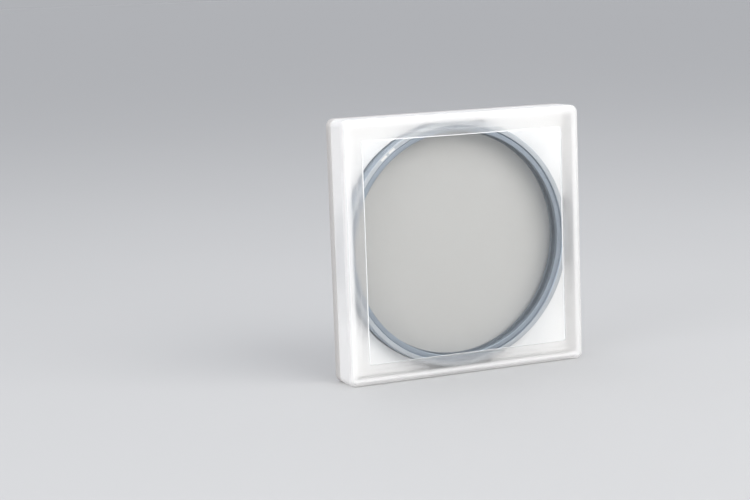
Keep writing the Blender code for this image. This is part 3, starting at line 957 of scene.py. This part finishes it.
marks = rim_marks(mark_angles)
marks.data.materials.append(mark_paint)
dress(marks, "polariser", "ring_anodised")
print(len(mark_angles), "marks")

# %% [markdown]
# ## The fixed ring
# The rear ring stays on the lens. Its band is plain but for a shallow groove, and behind its shoulder
# stands the male thread.

# %% The rear ring
FLANGE = GRIP + GAP
rear_low, rear_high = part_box("rear_mount_ring")
REAR_END = rear_high.y - FILTER_Y
SHOULDER = REAR_END - 1.8 * MM  # where the band ends and the male thread begins
THREAD_START = SHOULDER + 0.6 * MM
GROOVE_DEPTH, GROOVE_SLOPE = 0.25 * MM, 0.15 * MM
GROOVE_START, GROOVE_END = FLANGE + 0.8 * MM, FLANGE + 1.4 * MM
SOCKET_R = THREAD_R + 0.4 * MM
SPIGOT_R = THREAD_R - 1.0 * MM
rear_outline = densified(
    filleted(
        [
            (RING_R, FLANGE, 0.2 * MM),
            (RING_R, GROOVE_START, 0.05 * MM),
            (RING_R - GROOVE_DEPTH, GROOVE_START + GROOVE_SLOPE, 0.05 * MM),
            (RING_R - GROOVE_DEPTH, GROOVE_END - GROOVE_SLOPE, 0.05 * MM),
            (RING_R, GROOVE_END, 0.05 * MM),
            (RING_R, SHOULDER, 0.3 * MM),
            (BORE_R, SHOULDER, 0.05 * MM),
            (BORE_R, SHOULDER + 0.3 * MM, 0.05 * MM),
            (THREAD_R, THREAD_START, 0.05 * MM),
            (THREAD_R, REAR_END, 0.25 * MM),
            (SPIGOT_R, REAR_END, 0.1 * MM),
            (SPIGOT_R, SKIRT_END + GAP, 0.05 * MM),
            (SOCKET_R, SKIRT_END + GAP, 0.05 * MM),
            (SOCKET_R, FLANGE, 0.05 * MM),
        ],
        4,
    ),
    0.16 * MM,
)
REAR_STEPS = 480
rear_angle = np.linspace(0, math.tau, REAR_STEPS, endpoint=False)[:, None]
rear_depth = rear_outline[:, 1]
rear_r = threaded(
    rear_outline[:, 0], rear_depth, THREAD_R, -MALE_THREAD, THREAD_START, REAR_END, rear_angle
)
rear_ring = surface(
    "fixed_ring", ring_grid(rear_r, rear_depth, REAR_STEPS), "join", [ring_metal], weighted=False
)
dress(rear_ring, "tray", "ring_anodised", "rear_mount_ring")

# %% [markdown]
# ## What the rings hold
# The retaining ring screws down onto the glass. The glass, the two films and the second glass are
# plain discs with a finely ground edge. The wire ring lies hidden between the two rings. The packed
# rings have a groove for it, which is left out of these surfaces, so the wire cuts into the turning
# ring's skirt where nothing shows it.

# %% Retaining ring, glass, films and wire
retainer_low, retainer_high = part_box("glass_retaining_ring")
RETAINER_R = THREAD_R - 0.05 * MM
RETAINER_FRONT = retainer_low.y - FILTER_Y
RETAINER_BACK = retainer_high.y - FILTER_Y
RETAINER_WIDTH = 1.65 * MM
SLOT_HALF = 0.6 * MM
SLOT_DEPTH = 0.35 * MM
retainer_outline = densified(
    filleted(
        [
            (RETAINER_R, RETAINER_FRONT, 0.1 * MM),
            (RETAINER_R, RETAINER_BACK, 0.1 * MM),
            (RETAINER_R - RETAINER_WIDTH, RETAINER_BACK, 0.1 * MM),
            (RETAINER_R - RETAINER_WIDTH, RETAINER_FRONT, 0.2 * MM),
        ],
        4,
    ),
    0.3 * MM,
)
disc_angle = np.linspace(0, math.tau, 720, endpoint=False)[:, None]
slot = np.abs(np.sin(disc_angle)) * RETAINER_R < SLOT_HALF
near_front = retainer_outline[:, 1] < RETAINER_FRONT + SLOT_DEPTH
retainer_depth = np.where(slot & near_front, RETAINER_FRONT + SLOT_DEPTH, retainer_outline[:, 1])
retainer_x = FILTER_X + retainer_outline[:, 0] * np.sin(disc_angle)
retainer_z = FILTER_Z + retainer_outline[:, 0] * np.cos(disc_angle)
# The retaining ring takes the darker copy of the metal, painted shade for the well it lies in.
retainer = surface(
    "retaining_ring",
    np.stack([retainer_x, FILTER_Y + retainer_depth, retainer_z], axis=-1),
    "join",
    [inner_metal_painted_shade],
    weighted=False,
)
dress(retainer, "polariser", "retainer_anodised", "glass_retaining_ring")


def disc(name, node_name, material, steps=240):
    """A disc with a small ground bevel, capped on both faces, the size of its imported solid."""
    low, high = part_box(node_name)
    radius = (high.x - low.x) / 2
    front, rear = low.y - FILTER_Y, high.y - FILTER_Y
    edge = min(0.15 * MM, (rear - front) / 3)
    radii = np.array([radius - edge, radius, radius, radius - edge])
    depths = np.array([front, front + edge, rear - edge, rear])
    return surface(name, ring_grid(radii, depths, steps), "cap", [material])


SANDWICH = (
    ("glass_front", "front_glass", coated_glass, "filter_glass"),
    ("film_polarising", "polarising_film", grey_film, "film_polarising"),
    ("film_retarder", "quarter_wave_film", clear_film, "film_retarder"),
    ("glass_rear", "rear_glass", coated_glass, "filter_glass"),
)
for name, node_name, material, slot_name in SANDWICH:
    dress(disc(name, node_name, material), "polariser", slot_name, node_name)

wire_low, wire_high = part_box("snap_ring")
WIRE_R = (wire_high.y - wire_low.y) / 2
wire_depth = (wire_high.y + wire_low.y) / 2 - FILTER_Y
wire_path = THREAD_R + 0.2 * MM
opening = math.radians(6)
along_wire = np.linspace(opening, math.tau - opening, 300)
round_wire = np.linspace(0, math.tau, 12, endpoint=False)[:, None]
wire_radius = wire_path + WIRE_R * np.cos(round_wire)
wire_grid = np.stack(
    [
        FILTER_X + wire_radius * np.sin(along_wire),
        np.broadcast_to(FILTER_Y + wire_depth + WIRE_R * np.sin(round_wire), (12, 300)),
        FILTER_Z + wire_radius * np.cos(along_wire),
    ],
    axis=-1,
)
wire = surface("wire_ring", wire_grid, "cap", [steel], weighted=False)
dress(wire, "tray", "pin_steel", "snap_ring")
print("wire", round(2 * WIRE_R / MM, 2), "mm thick")

# %% [markdown]
# ## Foam
# Five foam pieces hold the filter. They are die-cut, so their sides are straight and their faces are
# flat, but foam gives at a cut and its edges are soft. Each corner block is an outline with one hollow
# side, carried back from its front face to the tray's floor.

# %% Foam blocks and disc


def block_outline(reach, wall, hollow, corner, side_x, side_z):
    """The block's (x, z) outline: two straight sides against the walls and an arc round the filter."""
    end = wall - reach
    aside, above = side_x * (FILTER_X - MIDDLE_X), side_z * (FILTER_Z - MIDDLE_Z)
    arc = np.linspace(math.acos((end - aside) / hollow), math.asin((end - above) / hollow), 26)
    rounded = np.linspace(0, np.pi / 2, 8)
    arc_x, arc_z = aside + hollow * np.cos(arc), above + hollow * np.sin(arc)
    x = np.concatenate([[wall], wall - corner + corner * np.cos(rounded), [end], arc_x])
    z = np.concatenate([[end], wall - corner + corner * np.sin(rounded), [wall], arc_z])
    return np.stack([side_x * x, side_z * z], axis=-1)


def soft_edge(front, rear, edge, steps):
    """How far a side is drawn in, and at what depth, along a quarter round at the front and the rear.

    At an angle a the side is in by edge * (1 - sin a), at edge * (1 - cos a) from its face.
    """
    bend = np.linspace(0, np.pi / 2, steps)
    drawn_in, from_face = edge * (1 - np.sin(bend)), edge * (1 - np.cos(bend))
    inset = np.concatenate([drawn_in, drawn_in[::-1]])
    return inset, np.concatenate([front + from_face, rear - from_face[::-1]])


def foam_block(name, node_name, side_x, side_z):
    """One corner block: its outline drawn in towards its middle at the soft front and rear edges."""
    low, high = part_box(node_name)
    wall = HALF - WALL - GAP
    outline = block_outline(high.x - low.x, wall, RING_R + GAP, 1.2 * MM, side_x, side_z)
    middle = outline.mean(0)
    inset, depth = soft_edge(low.y, high.y, 0.35 * MM, 4)
    away = outline - middle
    length = np.linalg.norm(away, axis=1)[:, None]
    flat = middle + away[:, None] * (1 - inset[None, :, None] / length[:, None])
    grid = np.stack(
        [MIDDLE_X + flat[..., 0], np.broadcast_to(depth, flat.shape[:2]), MIDDLE_Z + flat[..., 1]], axis=-1
    )
    block = surface(name, grid, "cap", [foam])
    dress(block, "tray", "foam_white", node_name)
    return block


for side_x, across in ((-1, "left"), (1, "right")):
    for side_z, height in ((-1, "lower"), (1, "upper")):
        foam_block(f"foam_{height}_{across}", f"corner_pad_{height}_{across}", side_x, side_z)

pad_low, pad_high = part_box("base_pad")
pad_r = (pad_high.x - pad_low.x) / 2
pad_edge = 0.4 * MM
pad_inset, pad_depth = soft_edge(pad_low.y, pad_high.y, pad_edge, 5)
pad = surface("foam_disc", ring_grid(pad_r - pad_inset, pad_depth - FILTER_Y, 240), "cap", [foam])
dress(pad, "tray", "foam_white", "base_pad")

# %% [markdown]
# ## The floor's finish
# The floor is a sheet of smooth studio card. A faint noise in its colour keeps it from being one flat
# value.

# %% The floor


def studio_card():
    material, tree = new_material("studio_card")
    cloud = noise(tree, place(tree), 6.0, 4.0)
    shader = node(
        tree,
        "ShaderNodeBsdfPrincipled",
        {
            "Base Color": between(tree, cloud, (FLOOR_SHADE - 0.01,) * 3, (FLOOR_SHADE + 0.01,) * 3),
            "Roughness": spread(tree, cloud, 0.6, 0.7),
        },
    )
    finish_material(tree, shader.outputs[0])
    return material


floor.data.materials.append(studio_card())
